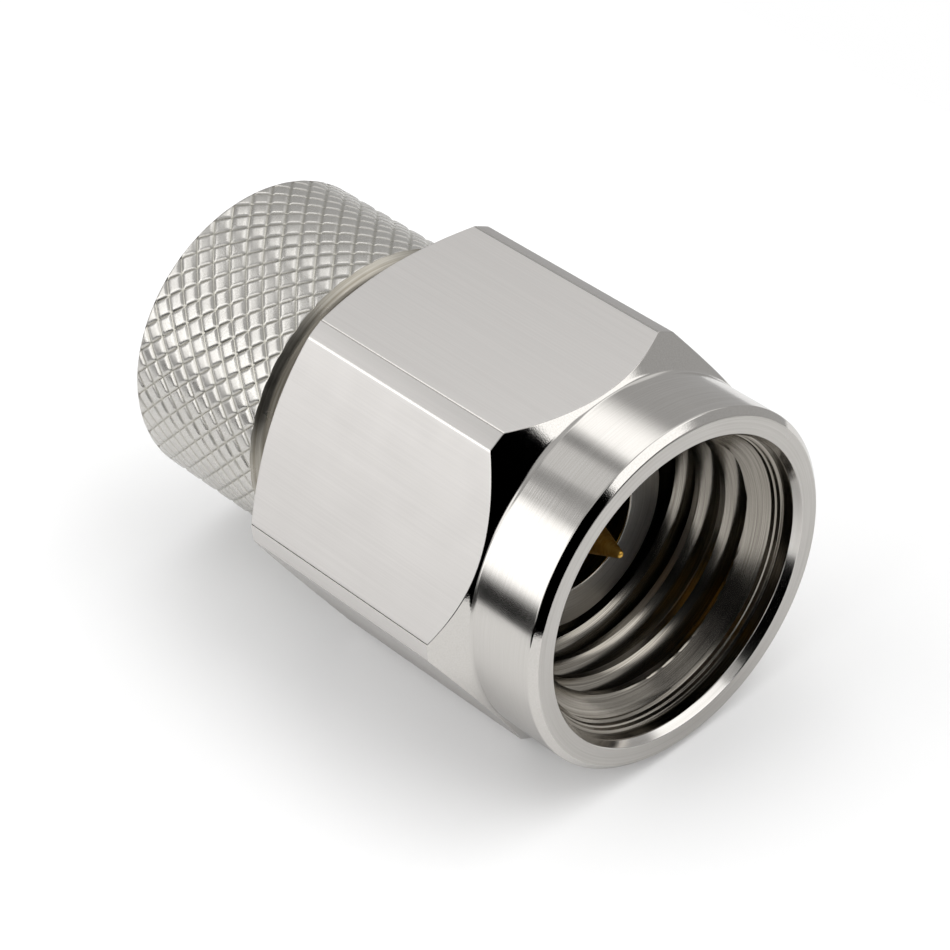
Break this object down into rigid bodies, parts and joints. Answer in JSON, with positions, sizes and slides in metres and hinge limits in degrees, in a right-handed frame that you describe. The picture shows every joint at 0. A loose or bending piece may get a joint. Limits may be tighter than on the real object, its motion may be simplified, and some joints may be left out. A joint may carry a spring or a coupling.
{
  "type": "coaxial terminator",
  "caption": "Coaxial termination plug with a hexagon coupling nut, gold-plated centre pin and knurled load housing.",
  "frame": {"origin": "centre of the mating face of the outer conductor, on the coaxial axis", "axes": "+X along the axis, out of the mouth towards the mating jack; +Z square to the nut's upper flat, so the part lies on its lower flat"},
  "size_m": [0.0128, 0.009, 0.008],
  "materials": {
    "nut_steel": "turned and brushed, passivated",
    "body_steel": "fine turned",
    "housing_steel": "knurled, passivated",
    "gold_plate": "gold plated",
    "spring_metal": "rolled spring strip",
    "bead_plastic": "machined",
    "resistor_ceramic": "fired ceramic with a thin resistive film"
  },
  "bodies": {
    "terminator_body": {"outer_conductor": "body_steel", "centre_pin": "gold_plate", "support_bead": "bead_plastic", "bead_clamp_ring": "body_steel", "resistor_socket": "gold_plate", "resistor_front_cap": "gold_plate", "resistor_rod": "resistor_ceramic", "resistor_rear_cap": "gold_plate", "load_sleeve": "body_steel", "ground_plate": "gold_plate", "disc_spring": "spring_metal", "knurled_housing": "housing_steel"},
    "snap_ring": {"snap_ring": "spring_metal"},
    "coupling_nut": {"coupling_nut": "nut_steel"}
  },
  "joints": [
    {"name": "nut_float", "type": "slide", "parent": "terminator_body", "child": "snap_ring", "axis": [1, 0, 0], "range_m": [-0.0001, 0.0001]},
    {"name": "nut_spin", "type": "hinge", "parent": "snap_ring", "child": "coupling_nut", "pos_m": [0, 0, 0], "axis": [1, 0, 0], "continuous": true}
  ]
}
